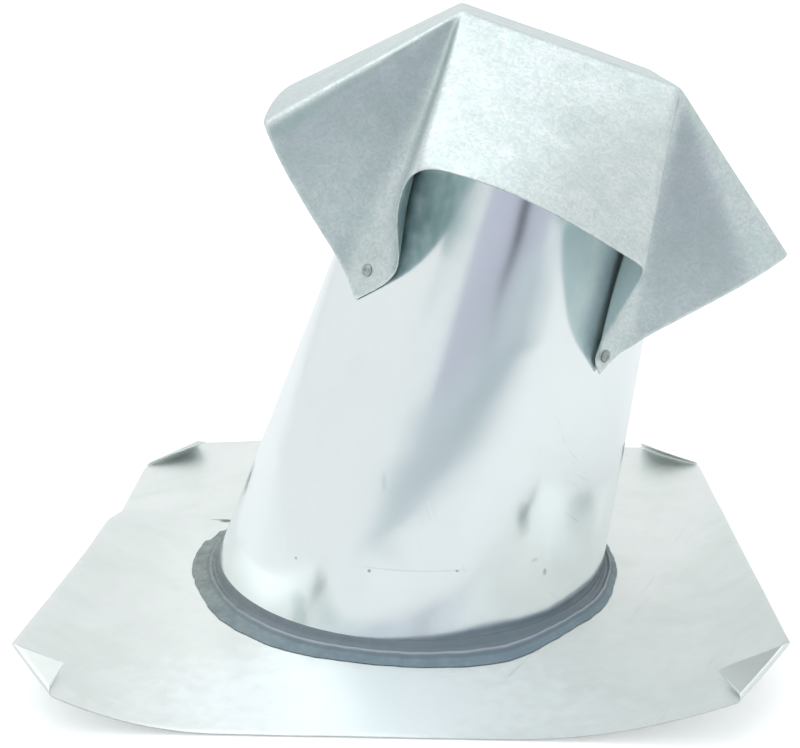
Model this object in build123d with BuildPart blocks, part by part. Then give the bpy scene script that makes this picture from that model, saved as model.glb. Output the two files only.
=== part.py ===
"""Sheet-steel roof jack: square flashing, leaning tapered pipe, folded rain cap, rivets and sealant.

Millimetres, +Z up. The origin is the centre of the pipe's foot on the underside of the flashing.
The pipe leans towards +X and the photo's viewer stands on the -Y side.
"""
import os
from math import atan, cos, degrees, exp, hypot, pi, radians, sin, sqrt, tan

from build123d import *

# Sheet and fastener stock
sheet = 0.6
rivet_body = 3.2
rivet_head = 6.4
rivet_rim = 0.35
rivet_dome = 1.5
rivet_grip = 2.0
rivet_bulb = 4.6
rivet_tail = 3.4
seat = 0.05

# Pipe: a truncated cone leaning with the roof's pitch
pipe_lean = 14.5
pipe_foot_radius = 104.6
pipe_taper = 0.124
pipe_top = 262.0
foot_flange = 7.0
seam_width = 9.0

# Flashing: a 14 inch square with curled front corners and a kink in its left edge
flashing_side = 355.6
flashing_shift = -6.4
curl_left = 32.0
curl_right = 34.0
front_spread = 4.5
front_flat_left = 82.0
front_flat_right = 45.0
ring_flat = 124.0
ring_flat_y = -30.0
kink_front_y = 22.0
kink_back_y = 58.0
kink_rise = 11.0
kink_foot = 0.5
bend_radius = 1.1

# Dog ears: leg along the side edge, leg along the front or back edge, bend angle
ear_front_left = (27.0, 26.0, 166.0)
ear_front_right = (38.0, 30.0, 170.0)
ear_back_right = (42.0, 34.0, 150.0)
ear_back_left = (46.0, 29.0, 158.0)

# Rain cap: a square of sheet folded about a smaller square, resting slightly crooked
cap_lean = 19.15
cap_back_lean = 3.2
cap_turn = -0.9
cap_x = 76.2
cap_y = 8.1
cap_z = 284.9
top_inset = 17.4
hood_depth = 103.0
fold_skew = 3.2
bend_front = 42.5
bend_right = 37.5
bend_back = 44.0
bend_left = 47.5
front_bow = 14.0
side_bow = 3.0
corner_chamfer = 2.0
panel_flare = 9.0
valley_top = 3.0
valley_foot = 20.0
leg_front_left = -50.5
leg_front_right = 43.0
leg_back_right = 129.5
leg_back_left = -140.5
leg_seat_length = 38.0
leg_seat_margin = 24.0
leg_spread = 14.0
rivet_margin = 13.0

# Sealant: a skirt pressed on the flashing and a cove against the pipe
skirt_thick = 1.8
skirt_width = 13.9
skirt_swing = 4.0
skirt_lump = 6.0
skirt_lump_at = 24.0
skirt_ragged = 0.7
cove_height = 6.0
cove_depth = 14.0
cove_brim = 1.0
cove_floor = 2.2
cove_hollow = 4.0
ridge_height = 3.1
ridge_at = 8.2
cove_width = 12.9
cove_tilt_front = 1.4
cove_tilt_left = 1.2

# Shared frames
lean = radians(pipe_lean)
pipe_axis = Vector(sin(lean), 0, cos(lean))
pipe_right = Vector(cos(lean), 0, -sin(lean))
pipe_half_angle = atan(pipe_taper)
pipe_wall = sheet / cos(pipe_half_angle)
pipe_profile = Plane(origin=(0, 0, 0), x_dir=pipe_right, z_dir=(0, -1, 0))
pipe_spin = Axis((0, 0, 0), pipe_axis)
cap_up = Vector(tan(radians(cap_lean)), tan(radians(cap_back_lean)), 1).normalized()
cap_back = (Vector(0, 1, 0) - cap_up * cap_up.Y).normalized()
cap_right = cap_back.cross(cap_up)
cap_frame = Plane(origin=(cap_x, cap_y, cap_z), x_dir=cap_right, z_dir=cap_up).rotated((0, 0, cap_turn))
half = flashing_side / 2
top_half = pipe_foot_radius - pipe_taper * pipe_top - top_inset
bore_over = 20.0
front_y = flashing_shift - half
back_y = flashing_shift + half


def pipe_radius(along):
    """Outer radius of the pipe at a distance along its axis."""
    return pipe_foot_radius - pipe_taper * along


# The warp of the flashing: rise of each side edge and the reach of the flat middle
def blend(y, stops):
    """Straight-line value at y through (y, value) stops listed from front to back."""
    for (y0, v0), (y1, v1) in zip(stops, stops[1:]):
        if y <= y1:
            return v0 + (v1 - v0) * (y - y0) / (y1 - y0)
    return stops[-1][1]


def left_rise(y):
    return blend(y, [(front_y, curl_left), (kink_front_y, kink_rise), (kink_back_y, kink_foot), (back_y, 0)])


def right_rise(y):
    return blend(y, [(front_y, curl_right), (back_y, 0)])


def left_half(y):
    """Half width to the left, where the hand-cut front edge runs a little wide."""
    return half + front_spread * max(ring_flat_y - y, 0) / (ring_flat_y - front_y)


def left_flat(y):
    return blend(y, [(front_y, front_flat_left), (ring_flat_y, ring_flat), (back_y, ring_flat)])


def right_flat(y):
    return blend(y, [(front_y, front_flat_right), (ring_flat_y, ring_flat), (back_y, ring_flat)])


def sheet_rise(x, y):
    """Height of the flashing's underside over a point."""
    if x < 0:
        rise, flat, edge = left_rise(y), left_flat(y), left_half(y)
    else:
        rise, flat, edge = right_rise(y), right_flat(y), half
    reach = max(abs(x) - flat, 0) / (edge - flat)
    return rise * reach * reach


# Flashing sheet: lofted through five sections from the curled front edge to the flat back edge
with BuildPart() as flashing_sheet:
    for y in (front_y, ring_flat_y, kink_front_y, kink_back_y, back_y):
        with BuildSketch(Plane(origin=(0, y, 0), x_dir=(1, 0, 0), z_dir=(0, -1, 0))):
            with BuildLine():
                edge = left_half(y)
                xl, xr, zl, zr = left_flat(y), right_flat(y), left_rise(y), right_rise(y)
                Bezier((-edge, zl), (-(edge + xl) / 2, 0), (-xl, 0))
                Line((-xl, 0), (xr, 0))
                Bezier((xr, 0), ((half + xr) / 2, 0), (half, zr))
                Line((half, zr), (half, zr + sheet))
                Bezier((half, zr + sheet), ((half + xr) / 2, sheet), (xr, sheet))
                Line((xr, sheet), (-xl, sheet))
                Bezier((-xl, sheet), (-(edge + xl) / 2, sheet), (-edge, zl + sheet))
                Line((-edge, zl + sheet), (-edge, zl))
            make_face()
    loft(ruled=True)


# Each dog ear is given by the two ends of its fold, ordered so the sheet lies to the left
def ear_ends(corner_x, corner_y, side_leg, edge_leg):
    inward_x = -1 if corner_x > 0 else 1
    inward_y = 1 if corner_y < 0 else -1
    side_y = corner_y + inward_y * side_leg
    on_side = (half if corner_x > 0 else -left_half(side_y), side_y)
    on_edge = (corner_x + inward_x * edge_leg, corner_y)
    return (on_side, on_edge) if inward_x * inward_y > 0 else (on_edge, on_side)


def ear_frame(start, end):
    """Plane on the sheet's underside with x along the fold and y pointing into the sheet."""
    a = Vector(*start, sheet_rise(*start))
    b = Vector(*end, sheet_rise(*end))
    fold = (b - a).normalized()
    mid = ((start[0] + end[0]) / 2, (start[1] + end[1]) / 2)
    inward = Vector(-fold.Y, fold.X, 0).normalized()
    probe = 4.0
    ahead = (mid[0] + inward.X * probe, mid[1] + inward.Y * probe)
    slope = Vector(inward.X * probe, inward.Y * probe, sheet_rise(*ahead) - sheet_rise(*mid))
    return Plane(origin=a, x_dir=fold, z_dir=fold.cross(slope.normalized())), (b - a).length


ears = []
for corner, (side_leg, edge_leg, bend) in (
    ((-left_half(front_y), front_y), ear_front_left),
    ((half, front_y), ear_front_right),
    ((half, back_y), ear_back_right),
    ((-half, back_y), ear_back_left),
):
    start, end = ear_ends(*corner, side_leg, edge_leg)
    fold_plane, fold_length = ear_frame(start, end)
    ear_height = side_leg * edge_leg / hypot(side_leg, edge_leg)
    start_leg = hypot(start[0] - corner[0], start[1] - corner[1])
    tip_along = sqrt(start_leg * start_leg - ear_height * ear_height)
    section = Plane(origin=fold_plane.origin, x_dir=fold_plane.y_dir, z_dir=fold_plane.x_dir)
    with BuildPart() as ear:
        with BuildSketch(section):
            with BuildLine():
                run = Line((2, 0), (0, 0))
                turn = JernArc(run @ 1, (-1, 0), bend_radius + sheet, -bend)
                Line(turn @ 1, turn @ 1 + (turn % 1) * ear_height)
                offset(amount=sheet, side=Side.RIGHT)
            make_face()
        extrude(amount=fold_length)
        with BuildSketch(fold_plane.offset(-3)):
            with BuildLine():
                Polyline(
                    (0, -8), (fold_length, -8), (fold_length, 0),
                    (tip_along, ear_height), (0, 0), close=True,
                )
            make_face()
        extrude(amount=40, mode=Mode.INTERSECT)
    ears.append((start, end, corner, ear.part))

# Bore of the pipe carried down through the flashing
bore_low = -40.0
with BuildPart() as pipe_bore:
    with BuildSketch(pipe_profile):
        with BuildLine():
            Polyline(
                (0, bore_low),
                (pipe_radius(bore_low) - pipe_wall, bore_low),
                (pipe_radius(pipe_top + bore_over) - pipe_wall, pipe_top + bore_over),
                (0, pipe_top + bore_over),
                close=True,
            )
        make_face()
    revolve(axis=pipe_spin)

with BuildPart() as base_flashing:
    add(flashing_sheet.part)
    for start, end, corner, _ in ears:
        far_end, far_corner, far_start = [(x * 1.2, y * 1.2) for x, y in (end, corner, start)]
        with BuildSketch(Plane.XY.offset(-5)):
            with BuildLine():
                Polyline(start, end, far_end, far_corner, far_start, close=True)
            make_face()
        extrude(amount=80, mode=Mode.SUBTRACT)
    for _, _, _, ear_part in ears:
        add(ear_part)
    add(pipe_bore.part, mode=Mode.SUBTRACT)

# Legs of the cap: each valley ends in a flat that bears on the pipe
legs = (leg_front_left, leg_front_right, leg_back_right, leg_back_left)
flat_facings = (-45, 45, 135, -135)
leg_signs = ((-1, -1), (1, -1), (1, 1), (-1, 1))
seat_half = (pipe_radius(pipe_top) + leg_spread) / sqrt(2)
tip_run = hood_depth + (top_half - seat_half) * cos(radians(bend_front))
tip_level = tip_run / sin(radians(bend_front))
leg_seat_high = tip_level - leg_seat_margin
leg_seat_low = leg_seat_high + leg_seat_length
rivet_level = tip_level - rivet_margin


def axis_at(level):
    """Crossing of the pipe's axis with a plane of the cap, in the cap's own x and y."""
    along = (Vector(*cap_frame.origin).dot(cap_up) - level) / pipe_axis.dot(cap_up)
    hit = cap_frame.to_local_coords(pipe_axis * along)
    return hit.X, hit.Y


def pipe_reach(level, azimuth):
    """Distance from the pipe's axis to its outer wall, towards an azimuth in a plane of the cap."""
    cx, cy = axis_at(level)
    ux, uy = sin(radians(azimuth)), -cos(radians(azimuth))
    reach = pipe_foot_radius
    for _ in range(30):
        point = cap_frame.from_local_coords(Vector(cx + reach * ux, cy + reach * uy, -level))
        along = point.dot(pipe_axis)
        radial = (point - pipe_axis * along).length
        reach = reach * pipe_radius(along) / radial
    return reach


def flat_middle(level, index):
    """Middle of a leg's flat, on the sheet's outer face, in the cap's own x and y."""
    cx, cy = axis_at(level)
    facing = flat_facings[index]
    swings = [swing / 2 for swing in range(-30, 31)]
    bearing = max(pipe_reach(level, facing + swing) * cos(radians(swing)) for swing in swings)
    stand = bearing + seat + sheet
    aside = pipe_reach(level, legs[index]) * sin(radians(legs[index] - facing))
    nx, ny = sin(radians(facing)), -cos(radians(facing))
    return cx + stand * nx - aside * ny, cy + stand * ny + aside * nx


def valley_corner(level, index):
    """Sharp corner of the plus-shaped plan behind a leg's flat."""
    x, y = flat_middle(level, index)
    sx, sy = leg_signs[index]
    return x - valley_foot / 2 * sx, y - valley_foot / 2 * sy


arm = 170.0


def plus_points(corners, inset):
    """Twelve corners of the plan, drawn in by an inset, and the four that are valleys."""
    (fl, fr, br, bl) = [(x - sx * inset, y - sy * inset) for (x, y), (sx, sy) in zip(corners, leg_signs)]
    ring = [
        (fl[0], -arm), (fr[0], -arm), fr, (arm, fr[1]), (arm, br[1]), br,
        (br[0], arm), (bl[0], arm), bl, (-arm, bl[1]), (-arm, fl[1]), fl,
    ]
    return ring, (fl, fr, br, bl)


def near(point, spots):
    return min(hypot(point.X - x, point.Y - y) for x, y in spots) < 0.01


# Each hood: its bend, the direction along its fold and the direction outwards
hoods = (
    (bend_front, Vector(1, 0, 0), Vector(0, -1, 0)),
    (bend_right, Vector(0, 1, 0), Vector(1, 0, 0)),
    (bend_back, Vector(-1, 0, 0), Vector(0, 1, 0)),
    (bend_left, Vector(0, -1, 0), Vector(-1, 0, 0)),
)
hood_bows = (front_bow, side_bow, front_bow, side_bow)
roof_drop = 170.0
panel_half = top_half + panel_flare
top_corners = [(sx * top_half, sy * top_half) for sx, sy in leg_signs]
low_corners = [valley_corner(leg_seat_low, i) for i in range(4)]
high_corners = [valley_corner(leg_seat_high, i) for i in range(4)]


def roof_reach(bend, drop, inset):
    """Horizontal distance from the cap's middle to a hood panel at a drop below the top."""
    return top_half + drop / tan(radians(bend)) - inset / sin(radians(bend))


forms = []
for inset in (0.0, sheet):
    with BuildPart() as plan:
        for level, corners, valley in (
            (0.0, top_corners, valley_top),
            (leg_seat_high, high_corners, valley_foot),
            (leg_seat_low, low_corners, valley_foot),
        ):
            ring, spots = plus_points(corners, inset)
            with BuildSketch(cap_frame.offset(-level)):
                with BuildLine():
                    Polyline(*ring, close=True)
                make_face()
                chamfer([v for v in vertices() if near(v, spots)], length=valley + (2 - sqrt(2)) * inset)
        loft(ruled=True)
    with BuildPart() as roof:
        for drop, bowed in ((inset, 0.0), (roof_drop, 1.0)):
            with BuildSketch(cap_frame.offset(-drop)):
                with BuildLine():
                    ends = []
                    for (bend, along, out), bow in zip(hoods, hood_bows):
                        reach = roof_reach(bend, drop, inset)
                        width = panel_half if bowed else top_half - corner_chamfer
                        a = out * reach - along * width
                        b = out * reach + along * width
                        if bowed:
                            swell = bow * roof_drop / (hood_depth * sin(radians(bend)) * sin(radians(bend)))
                            ThreePointArc(a, out * (reach + swell), b)
                        else:
                            Line(a, b)
                        ends.append((a, b))
                    for (_, b), (a, _) in zip(ends, ends[1:] + ends[:1]):
                        Line(b, a)
                make_face()
        loft(ruled=True)
    with BuildPart() as form:
        add(plan.part)
        add(roof.part, mode=Mode.INTERSECT)
    forms.append(form.part)


def cap_dir(v):
    """A direction of the cap's frame in the shared frame."""
    return cap_frame.from_local_coords(v) - cap_frame.origin


# Pop rivets square to the flat at the foot of each valley
dome_rise = rivet_dome - rivet_rim
dome_radius = (rivet_head**2 / 4 + dome_rise**2) / (2 * dome_rise)
with BuildPart() as cap_rivets:
    for index in range(4):
        x, y = flat_middle(rivet_level, index)
        low_x, low_y = flat_middle(leg_seat_low, index)
        spot = cap_frame.from_local_coords(Vector(x, y, -rivet_level))
        foot = cap_frame.from_local_coords(Vector(low_x, low_y, -leg_seat_low))
        facing = radians(flat_facings[index])
        across = cap_dir(Vector(cos(facing), sin(facing), 0))
        outward = across.cross(spot - foot).normalized()
        with BuildSketch(Plane(origin=spot, x_dir=across, z_dir=across.cross(outward))):
            with BuildLine():
                tail = -rivet_grip - rivet_tail
                Polyline(
                    (0, rivet_dome), (0, tail), (rivet_bulb / 2, tail), (rivet_bulb / 2, -rivet_grip),
                    (rivet_body / 2, -rivet_grip), (rivet_body / 2, 0), (rivet_head / 2, 0),
                    (rivet_head / 2, rivet_rim),
                )
                shoulder_fall = dome_radius - sqrt(dome_radius**2 - rivet_head**2 / 16)
                shoulder = (rivet_head / 4, rivet_dome - shoulder_fall)
                ThreePointArc((rivet_head / 2, rivet_rim), shoulder, (0, rivet_dome))
            make_face()
        revolve(axis=Axis(spot, outward))

# Folded cap: the outer form, trimmed along the four straight edges of the sheet, hollowed by the inner
with BuildPart() as rain_cap:
    add(forms[0])
    for bend, along, out in hoods:
        down = out * cos(radians(bend)) - Vector(0, 0, 1) * sin(radians(bend))
        edge_mid = cap_frame.from_local_coords(out * top_half + down * hood_depth)
        facing = cap_dir(down * cos(radians(fold_skew)) - along * sin(radians(fold_skew)))
        split(bisect_by=Plane(origin=edge_mid, z_dir=facing), keep=Keep.BOTTOM)
    add(forms[1], mode=Mode.SUBTRACT)
    add(cap_rivets.part, mode=Mode.SUBTRACT)


# Foot of the pipe: the ellipse that the leaning cone cuts in the flashing
def foot_end(side):
    along = side * pipe_foot_radius * sin(lean) / (cos(lean) + side * pipe_taper * sin(lean))
    return along * sin(lean) + side * pipe_radius(along) * cos(lean)


foot_half = (foot_end(1) - foot_end(-1)) / 2
foot_x = (foot_end(1) + foot_end(-1)) / 2
seam_turn = degrees(seam_width / pipe_radius(pipe_top / 2))

with BuildPart() as stack_pipe:
    with BuildSketch(pipe_profile):
        with BuildLine():
            Polyline(
                (0, bore_low), (pipe_radius(bore_low), bore_low),
                (pipe_radius(pipe_top), pipe_top), (0, pipe_top), close=True,
            )
        make_face()
    revolve(axis=pipe_spin)
    with BuildSketch(Plane(origin=(0, 0, 0), x_dir=(0, 1, 0), z_dir=Vector(0, 1, 0).cross(pipe_axis))):
        with BuildLine():
            Polyline(
                (pipe_radius(bore_low) - sheet / 2, bore_low),
                (pipe_radius(bore_low) + sheet, bore_low),
                (pipe_radius(pipe_top) + sheet, pipe_top),
                (pipe_radius(pipe_top) - sheet / 2, pipe_top),
                close=True,
            )
        make_face()
    revolve(axis=pipe_spin, revolution_arc=seam_turn)
    split(bisect_by=Plane.XY.offset(sheet), keep=Keep.TOP)
    with BuildSketch(Plane.XY.offset(sheet)):
        with Locations((foot_x, 0)):
            Ellipse(foot_half + foot_flange, pipe_foot_radius + foot_flange)
    extrude(amount=sheet)
    add(pipe_bore.part, mode=Mode.SUBTRACT)
    add(cap_rivets.part, mode=Mode.SUBTRACT)

# Sealant: an uneven skirt on the flashing and a cove that climbs higher on the left and the back
outline = []
for step in range(48):
    turn = 2 * pi * step / 48
    lump = degrees(turn) - skirt_lump_at
    radius = pipe_foot_radius + skirt_width + skirt_swing * cos(turn + radians(25))
    radius += skirt_lump * exp(-(lump * lump) / 200)
    radius += skirt_ragged * sin(7 * turn) + skirt_ragged * sin(13 * turn + 1) / 2
    outline.append((foot_x + radius * sin(turn), -radius * cos(turn)))
cove_up = Vector(sin(radians(cove_tilt_left)), -sin(radians(cove_tilt_front)), 1).normalized()
cove_side = Vector(0, 1, 0).cross(cove_up).normalized()
with BuildPart() as sealant_bead:
    with BuildSketch(Plane.XY.offset(sheet)):
        with BuildLine():
            Spline(*outline, periodic=True)
        make_face()
    extrude(amount=skirt_thick)
    cove_plane = Plane(origin=(foot_x, 0, sheet), x_dir=cove_side, z_dir=cove_side.cross(cove_up))
    with BuildSketch(cove_plane):
        with BuildLine():
            inner = pipe_foot_radius - cove_depth
            brim = pipe_foot_radius + cove_brim
            toe = pipe_foot_radius + cove_width
            Polyline(
                (inner, -cove_height), (toe, -cove_height), (toe, skirt_thick / 2),
                (pipe_foot_radius + ridge_at, ridge_height), (brim + cove_hollow, cove_floor),
                (brim, cove_height), (inner, cove_height), close=True,
            )
        make_face()
    revolve(axis=Axis((foot_x, 0, sheet), cove_up))
    split(bisect_by=Plane.XY.offset(sheet), keep=Keep.TOP)
    add(pipe_bore.part, mode=Mode.SUBTRACT)
    add(stack_pipe.part, mode=Mode.SUBTRACT)

os.makedirs("parts", exist_ok=True)
base_flashing.part.label = "base_flashing"
export_step(base_flashing.part, "parts/base_flashing.step")
stack_pipe.part.label = "stack_pipe"
export_step(stack_pipe.part, "parts/stack_pipe.step")
rain_cap.part.label = "rain_cap"
export_step(rain_cap.part, "parts/rain_cap.step")
cap_rivets.part.label = "cap_rivets"
export_step(cap_rivets.part, "parts/cap_rivets.step")
sealant_bead.part.label = "sealant_bead"
export_step(sealant_bead.part, "parts/sealant_bead.step")
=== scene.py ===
# %% [markdown]
# # A galvanised roof jack
# The real object is thin zinc-coated sheet: a square flashing, a leaning pipe, a folded rain cap,
# four pop rivets and a bead of mastic. Sheet metal looks like sheet metal because of three things:
# folds are soft and never quite straight, flat areas wander by a fraction of a millimetre, and the
# zinc has a mottled skin. So each piece is made here as a fine grid that is bent by a short formula,
# then given thickness, and the skin is left to the materials.

# %% Load the frame
import math

import bmesh
import bpy
import numpy as np
from mathutils import Matrix, Vector, noise


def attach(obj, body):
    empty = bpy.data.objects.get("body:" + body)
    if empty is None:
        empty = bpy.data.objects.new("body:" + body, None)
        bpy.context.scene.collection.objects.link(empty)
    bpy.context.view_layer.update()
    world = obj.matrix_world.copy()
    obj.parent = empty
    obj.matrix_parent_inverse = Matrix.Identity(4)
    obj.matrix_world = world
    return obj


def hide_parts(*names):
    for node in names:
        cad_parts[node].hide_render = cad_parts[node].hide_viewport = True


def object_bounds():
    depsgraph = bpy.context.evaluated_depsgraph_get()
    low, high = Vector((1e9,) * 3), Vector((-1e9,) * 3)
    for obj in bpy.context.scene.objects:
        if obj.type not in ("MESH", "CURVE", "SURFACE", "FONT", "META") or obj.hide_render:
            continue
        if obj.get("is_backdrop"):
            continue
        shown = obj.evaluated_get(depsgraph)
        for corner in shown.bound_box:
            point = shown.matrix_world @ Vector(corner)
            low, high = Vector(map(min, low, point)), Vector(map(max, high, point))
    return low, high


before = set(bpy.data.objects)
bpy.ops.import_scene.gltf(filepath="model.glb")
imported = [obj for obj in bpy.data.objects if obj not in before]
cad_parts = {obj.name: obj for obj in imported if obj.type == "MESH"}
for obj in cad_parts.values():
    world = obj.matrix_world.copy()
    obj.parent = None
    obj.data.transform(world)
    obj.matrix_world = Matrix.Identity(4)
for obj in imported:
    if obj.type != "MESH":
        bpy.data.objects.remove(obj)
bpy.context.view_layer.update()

# %% [markdown]
# ## Shared dimensions
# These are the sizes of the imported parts, in metres, so the visible pieces sit where the solids do.

# %% Dimensions
SHEET = 0.0006
LEAN = math.radians(14.5)
FOOT_RADIUS = 0.1046
TAPER = 0.124
PIPE_TOP = 0.262
HALF = 0.1778
FLASHING_SHIFT = -0.0064
FRONT_Y = FLASHING_SHIFT - HALF
BACK_Y = FLASHING_SHIFT + HALF
AXIS = np.array([math.sin(LEAN), 0.0, math.cos(LEAN)])
SIDE = np.array([math.cos(LEAN), 0.0, -math.sin(LEAN)])
DEPTH = np.array([0.0, 1.0, 0.0])


def pipe_radius(along):
    return FOOT_RADIUS - TAPER * along


def foot_ellipse(z):
    """Centre and half widths of the oval where the pipe's outer wall crosses a height."""
    ends = []
    for side in (-1.0, 1.0):
        climb = math.cos(LEAN) + side * TAPER * math.sin(LEAN)
        along = (side * FOOT_RADIUS * math.sin(LEAN) + z) / climb
        ends.append(along * math.sin(LEAN) + side * pipe_radius(along) * math.cos(LEAN))
    return (ends[0] + ends[1]) / 2, (ends[1] - ends[0]) / 2, pipe_radius(z)


def wander(p, scale, seed):
    """Smooth noise in -1..1 at a point, for the slight unevenness of hand-worked sheet."""
    return noise.noise(Vector((p[0] * scale + seed, p[1] * scale, p[2] * scale)))


# %% [markdown]
# ## Helpers
# Every sheet piece is a grid of points. A grid becomes a mesh with one face per cell; a Solidify
# modifier then gives it the gauge of the metal, which keeps the fold formulas about one surface only.
# Smooth shading would bend the light round the cut edges as a pale band, so a Weighted Normal modifier
# lets the broad faces decide the shading.

# %% Mesh helpers
def mesh_piece(name, verts, faces, node):
    mesh = bpy.data.meshes.new(name)
    mesh.from_pydata([tuple(v) for v in verts], [], faces)
    mesh.validate()
    mesh.polygons.foreach_set("use_smooth", [True] * len(mesh.polygons))
    piece = bpy.data.objects.new(name, mesh)
    bpy.context.scene.collection.objects.link(piece)
    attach(piece, "root")
    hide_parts(node)
    print(name, len(verts), "points", len(faces), "faces")
    return piece


def grid_faces(rows, columns, start=0, closed=False):
    faces = []
    for i in range(rows - 1):
        for j in range(columns if closed else columns - 1):
            k = (j + 1) % columns
            a, b = start + i * columns + j, start + i * columns + k
            faces.append((a, b, b + columns, a + columns))
    return faces


BROAD_FACES_ONLY = 100


def thicken(piece, thickness, offset, even=True):
    solid = piece.modifiers.new("gauge", "SOLIDIFY")
    solid.thickness = thickness
    solid.offset = offset
    solid.use_even_offset = even
    solid.use_quality_normals = True
    shading = piece.modifiers.new("flat shading", "WEIGHTED_NORMAL")
    shading.weight = BROAD_FACES_ONLY


# %% [markdown]
# ## The flashing
# The real flashing is a flat square that has been knocked about: both front corners have sprung up,
# the left edge has a kink, and each corner is folded over so that it can't cut a hand. The grid takes
# its height from the same blend of edge heights as the solid, with a ripple of a few tenths of a
# millimetre added, because a perfectly smooth sheet would mirror the room like glass.

# %% Flashing warp
KINK_FRONT, KINK_BACK = 0.022, 0.058
LEFT_STOPS = ([FRONT_Y, KINK_FRONT, KINK_BACK, BACK_Y], [0.032, 0.011, 0.0005, 0.0])
RIGHT_STOPS = ([FRONT_Y, BACK_Y], [0.034, 0.0])
RING_Y, RING_FLAT = -0.03, 0.124
FRONT_SPREAD = 0.0045
LEFT_FLAT = ([FRONT_Y, RING_Y, BACK_Y], [0.082, RING_FLAT, RING_FLAT])
RIGHT_FLAT = ([FRONT_Y, RING_Y, BACK_Y], [0.045, RING_FLAT, RING_FLAT])
LEFT_HALF = ([FRONT_Y, RING_Y, BACK_Y], [HALF + FRONT_SPREAD, HALF, HALF])
RIPPLE, RIPPLES_PER_METRE, RIPPLE_FROM, RIPPLE_FADE = 0.0006, 14.0, 0.125, 0.03
HUMP, HUMP_X, HUMP_WIDTH = 0.003, -0.085, 0.04


def sheet_rise(x, y):
    rise = np.interp(y, *(LEFT_STOPS if x < 0 else RIGHT_STOPS))
    flat = np.interp(y, *(LEFT_FLAT if x < 0 else RIGHT_FLAT))
    edge = np.interp(y, *LEFT_HALF) if x < 0 else HALF
    reach = max(abs(x) - flat, 0.0) / (edge - flat)
    return rise * reach * reach


def sheet_point(x, y):
    away = max(math.hypot(x, y) - RIPPLE_FROM, 0.0)
    ripple = RIPPLE * wander((x, y, 0.0), RIPPLES_PER_METRE, 3.0) * min(away / RIPPLE_FADE, 1.0)
    hump = HUMP * math.exp(-(((x - HUMP_X) / HUMP_WIDTH) ** 2)) * max(y / BACK_Y, 0.0) ** 4
    return np.array([x, y, sheet_rise(x, y) + abs(ripple) + hump])


print("front corners rise", sheet_rise(-HALF, FRONT_Y), sheet_rise(HALF, FRONT_Y))

# %% [markdown]
# The dog ears are built along their own fold: a few rows run round a small bend, and the rest carry
# on flat, narrowing to the tip of the corner. That keeps the rows parallel to the fold, which a
# square grid can't do on a diagonal.

# %% Flashing ears
# For each ear: right or left, back or front, its leg down the side, its leg along the end, degrees turned.
EARS = (
    (-1, -1, 0.027, 0.026, 166.0),
    (1, -1, 0.038, 0.030, 170.0),
    (1, 1, 0.042, 0.034, 150.0),
    (-1, 1, 0.046, 0.029, 158.0),
)
BEND = 0.0015
SLOPE_PROBE = 0.004
EAR_CURL, CURLS_PER_METRE = 0.0012, 40.0


def ear_ends(sx, sy, side_leg, edge_leg):
    corner_y = FRONT_Y if sy < 0 else BACK_Y
    side_y = corner_y - sy * side_leg
    corner = np.array([HALF if sx > 0 else -np.interp(corner_y, *LEFT_HALF), corner_y])
    on_side = np.array([HALF if sx > 0 else -np.interp(side_y, *LEFT_HALF), side_y])
    on_edge = corner + np.array([-sx * edge_leg, 0.0])
    return (on_side, on_edge, corner) if sx * sy > 0 else (on_edge, on_side, corner)


def ear_grid(sx, sy, side_leg, edge_leg, turn, along=24, bend_rows=10, flat_rows=14):
    a, b, corner = ear_ends(sx, sy, side_leg, edge_leg)
    fold = (b - a) / np.linalg.norm(b - a)
    inward = np.array([-fold[1], fold[0]])
    tip = corner - a
    height, tip_at = -tip @ inward, tip @ fold
    length = np.linalg.norm(b - a)
    mid = (a + b) / 2
    ahead = mid + inward * SLOPE_PROBE
    slope = (sheet_rise(*ahead) - sheet_rise(*mid)) / SLOPE_PROBE
    out3 = np.array([-inward[0], -inward[1], -slope])
    out3 /= np.linalg.norm(out3)
    fold3 = np.append(b - a, sheet_rise(*b) - sheet_rise(*a))
    fold3 /= np.linalg.norm(fold3)
    up3 = np.cross(out3, fold3)
    up3 *= np.sign(up3[2])
    angle = math.radians(turn)
    steps = [angle * BEND * i / bend_rows for i in range(bend_rows + 1)]
    steps += [angle * BEND + (height - angle * BEND) * i / flat_rows for i in range(1, flat_rows + 1)]
    verts = []
    for reach in steps:
        low = tip_at * reach / height
        high = length + (tip_at - length) * reach / height
        theta = min(reach / BEND, angle)
        rest = max(reach - angle * BEND, 0.0)
        out = BEND * math.sin(theta) + rest * math.cos(theta)
        up = BEND * (1 - math.cos(theta)) + rest * math.sin(theta)
        for j in range(along + 1):
            t = low + (high - low) * j / along
            p = a + fold * t
            base = sheet_point(*p)
            curl = EAR_CURL * (rest / height) * wander(base, CURLS_PER_METRE, 9.0)
            verts.append(base + out3 * out + up3 * (up + curl))
    return verts, [face[::-1] for face in grid_faces(len(steps), along + 1)]


# %% [markdown]
# The sheet itself is a square grid. Its four corners are cut off along the ear folds, and the cells over
# the hole are deleted; the points left round the hole are then slid onto the oval of the pipe's foot.

# %% Flashing sheet
FLASHING_CELLS = 96
HOLE_SNAP = 1.15


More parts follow.
